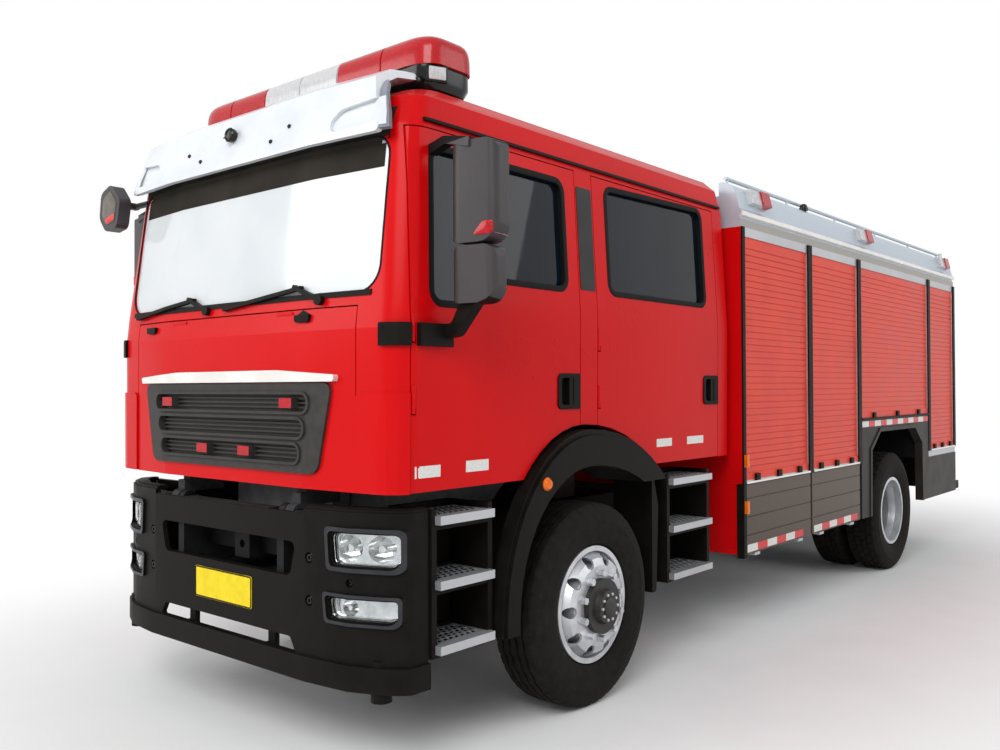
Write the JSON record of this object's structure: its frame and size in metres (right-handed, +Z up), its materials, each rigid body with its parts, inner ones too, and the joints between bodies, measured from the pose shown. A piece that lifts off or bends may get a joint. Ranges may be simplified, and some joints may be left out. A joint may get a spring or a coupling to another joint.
{
  "type": "crew-cab rescue fire truck",
  "caption": "Red crew-cab rescue fire truck with roller-shutter equipment body, tilting cab, opening doors and flaps, steering front wheels and twin rear wheels.",
  "frame": {"origin": "middle of the footprint on the ground", "axes": "+X to the truck's left, +Y to its rear, +Z up; the front faces -Y"},
  "size_m": [2.91, 8.16, 3.285],
  "materials": {
    "red_paint": "gloss",
    "black_plastic": "satin",
    "grey_plastic": "satin",
    "frame_black": "satin",
    "engine_grey": "matte",
    "tyre_rubber": "matte",
    "wheel_silver": "satin",
    "aluminium_plain": "satin",
    "body_silver": "satin",
    "flap_grey": "satin",
    "arch_grey": "satin",
    "visor_white": "gloss",
    "lamp_clear": "gloss",
    "lamp_red": "gloss",
    "glass_clear": "gloss",
    "trim_grey": "matte",
    "seat_cloth": "matte",
    "chrome_trim": "gloss",
    "mirror_grey": "satin"
  },
  "bodies": {
    "chassis": {"chassis_frame": "frame_black", "engine_block": "engine_grey", "front_axle": "frame_black", "rear_axle": "frame_black", "leaf_springs": "frame_black", "front_bumper": "black_plastic", "lamps": "lamp_clear", "step_boxes": "black_plastic", "step_treads": "aluminium_plain", "front_fenders": "black_plastic", "body_floor": "aluminium_plain", "body_shell": "aluminium_plain", "body_lockers": "aluminium_plain", "body_cornice": "body_silver", "shutter_frames": "black_plastic", "roller_shutters": "red_paint", "arch_panels": "arch_grey", "tail_step": "black_plastic", "roof_ladder": "aluminium_plain"},
    "cab": {"cab_floor": "trim_grey", "wheel_houses": "trim_grey", "cab_frame": "red_paint", "cab_roof": "red_paint", "windscreen": "glass_clear", "sun_visor": "visor_white", "light_bar": "lamp_red", "front_mirror": "black_plastic", "corner_trims": "black_plastic", "wipers": "black_plastic", "dashboard": "trim_grey", "seats": "seat_cloth"},
    "flap": {"front_flap": "red_paint", "grille": "grey_plastic", "grille_strip": "chrome_trim"},
    "steering_hand_wheel": {"steering_wheel": "black_plastic"},
    "front_door_left": {"door_front_left": "red_paint", "glass_front_left": "glass_clear", "mirror_left": "mirror_grey"},
    "rear_door_left": {"door_rear_left": "red_paint", "glass_rear_left": "glass_clear"},
    "steering_knuckle_left": {"knuckle_left": "frame_black"},
    "road_wheel_front_left": {"tyre_front_left": "tyre_rubber", "wheel_front_left": "wheel_silver"},
    "road_wheel_rear_left": {"tyres_rear_left": "tyre_rubber", "wheels_rear_left": "wheel_silver"},
    "flap_left_front": {"locker_flap_left_front": "flap_grey"},
    "flap_left_rear": {"locker_flap_left_rear": "flap_grey"},
    "front_door_right": {"door_front_right": "red_paint", "glass_front_right": "glass_clear", "mirror_right": "mirror_grey"},
    "rear_door_right": {"door_rear_right": "red_paint", "glass_rear_right": "glass_clear"},
    "steering_knuckle_right": {"knuckle_right": "frame_black"},
    "road_wheel_front_right": {"tyre_front_right": "tyre_rubber", "wheel_front_right": "wheel_silver"},
    "road_wheel_rear_right": {"tyres_rear_right": "tyre_rubber", "wheels_rear_right": "wheel_silver"},
    "flap_right_front": {"locker_flap_right_front": "flap_grey"},
    "flap_right_rear": {"locker_flap_right_rear": "flap_grey"}
  },
  "joints": [
    {"name": "cab_tilt", "type": "hinge", "parent": "chassis", "child": "cab", "pos_m": [0, -4, 1.08], "axis": [-1, 0, 0], "range_deg": [-45, 0]},
    {"name": "front_flap_open", "type": "hinge", "parent": "cab", "child": "flap", "pos_m": [0, -4.028, 1.974], "axis": [-1, 0, 0], "range_deg": [0, 80]},
    {"name": "steering_wheel_turn", "type": "hinge", "parent": "cab", "child": "steering_hand_wheel", "pos_m": [0.64, -3.49, 2.01], "axis": [0, 0.5299, 0.848], "range_deg": [-456, 456]},
    {"name": "front_door_left_open", "type": "hinge", "parent": "cab", "child": "front_door_left", "pos_m": [1.135, -3.903, 1.6], "axis": [0, 0, -1], "range_deg": [0, 75]},
    {"name": "rear_door_left_open", "type": "hinge", "parent": "cab", "child": "rear_door_left", "pos_m": [1.135, -2.553, 1.6], "axis": [0, 0, -1], "range_deg": [0, 75]},
    {"name": "steer_left", "type": "hinge", "parent": "chassis", "child": "steering_knuckle_left", "pos_m": [0.845, -2.63, 0.522], "axis": [0, 0, 1], "range_deg": [-38, 38]},
    {"name": "roll_front_left", "type": "hinge", "parent": "steering_knuckle_left", "child": "road_wheel_front_left", "pos_m": [1.028, -2.63, 0.522], "axis": [1, 0, 0], "continuous": true},
    {"name": "roll_rear_left", "type": "hinge", "parent": "chassis", "child": "road_wheel_rear_left", "pos_m": [0.868, 2.07, 0.522], "axis": [1, 0, 0], "continuous": true},
    {"name": "flap_left_front_open", "type": "hinge", "parent": "chassis", "child": "flap_left_front", "pos_m": [1.194, -0.455, 0.558], "axis": [0, 1, 0], "range_deg": [0, 90]},
    {"name": "flap_left_rear_open", "type": "hinge", "parent": "chassis", "child": "flap_left_rear", "pos_m": [1.194, 0.605, 0.558], "axis": [0, 1, 0], "range_deg": [0, 90]},
    {"name": "front_door_right_open", "type": "hinge", "parent": "cab", "child": "front_door_right", "pos_m": [-1.135, -3.903, 1.6], "axis": [0, 0, 1], "range_deg": [0, 75]},
    {"name": "rear_door_right_open", "type": "hinge", "parent": "cab", "child": "rear_door_right", "pos_m": [-1.135, -2.553, 1.6], "axis": [0, 0, 1], "range_deg": [0, 75]},
    {"name": "steer_right", "type": "hinge", "parent": "chassis", "child": "steering_knuckle_right", "pos_m": [-0.845, -2.63, 0.522], "axis": [0, 0, 1], "range_deg": [-38, 38]},
    {"name": "roll_front_right", "type": "hinge", "parent": "steering_knuckle_right", "child": "road_wheel_front_right", "pos_m": [-1.028, -2.63, 0.522], "axis": [1, 0, 0], "continuous": true},
    {"name": "roll_rear_right", "type": "hinge", "parent": "chassis", "child": "road_wheel_rear_right", "pos_m": [-0.868, 2.07, 0.522], "axis": [1, 0, 0], "continuous": true},
    {"name": "flap_right_front_open", "type": "hinge", "parent": "chassis", "child": "flap_right_front", "pos_m": [-1.194, -0.455, 0.558], "axis": [0, -1, 0], "range_deg": [0, 90]},
    {"name": "flap_right_rear_open", "type": "hinge", "parent": "chassis", "child": "flap_right_rear", "pos_m": [-1.194, 0.605, 0.558], "axis": [0, -1, 0], "range_deg": [0, 90]}
  ],
  "couplings": [
    {"joint": "steer_right", "follows": "steer_left", "ratio": 1},
    {"joint": "steering_wheel_turn", "follows": "steer_left", "ratio": 12}
  ]
}
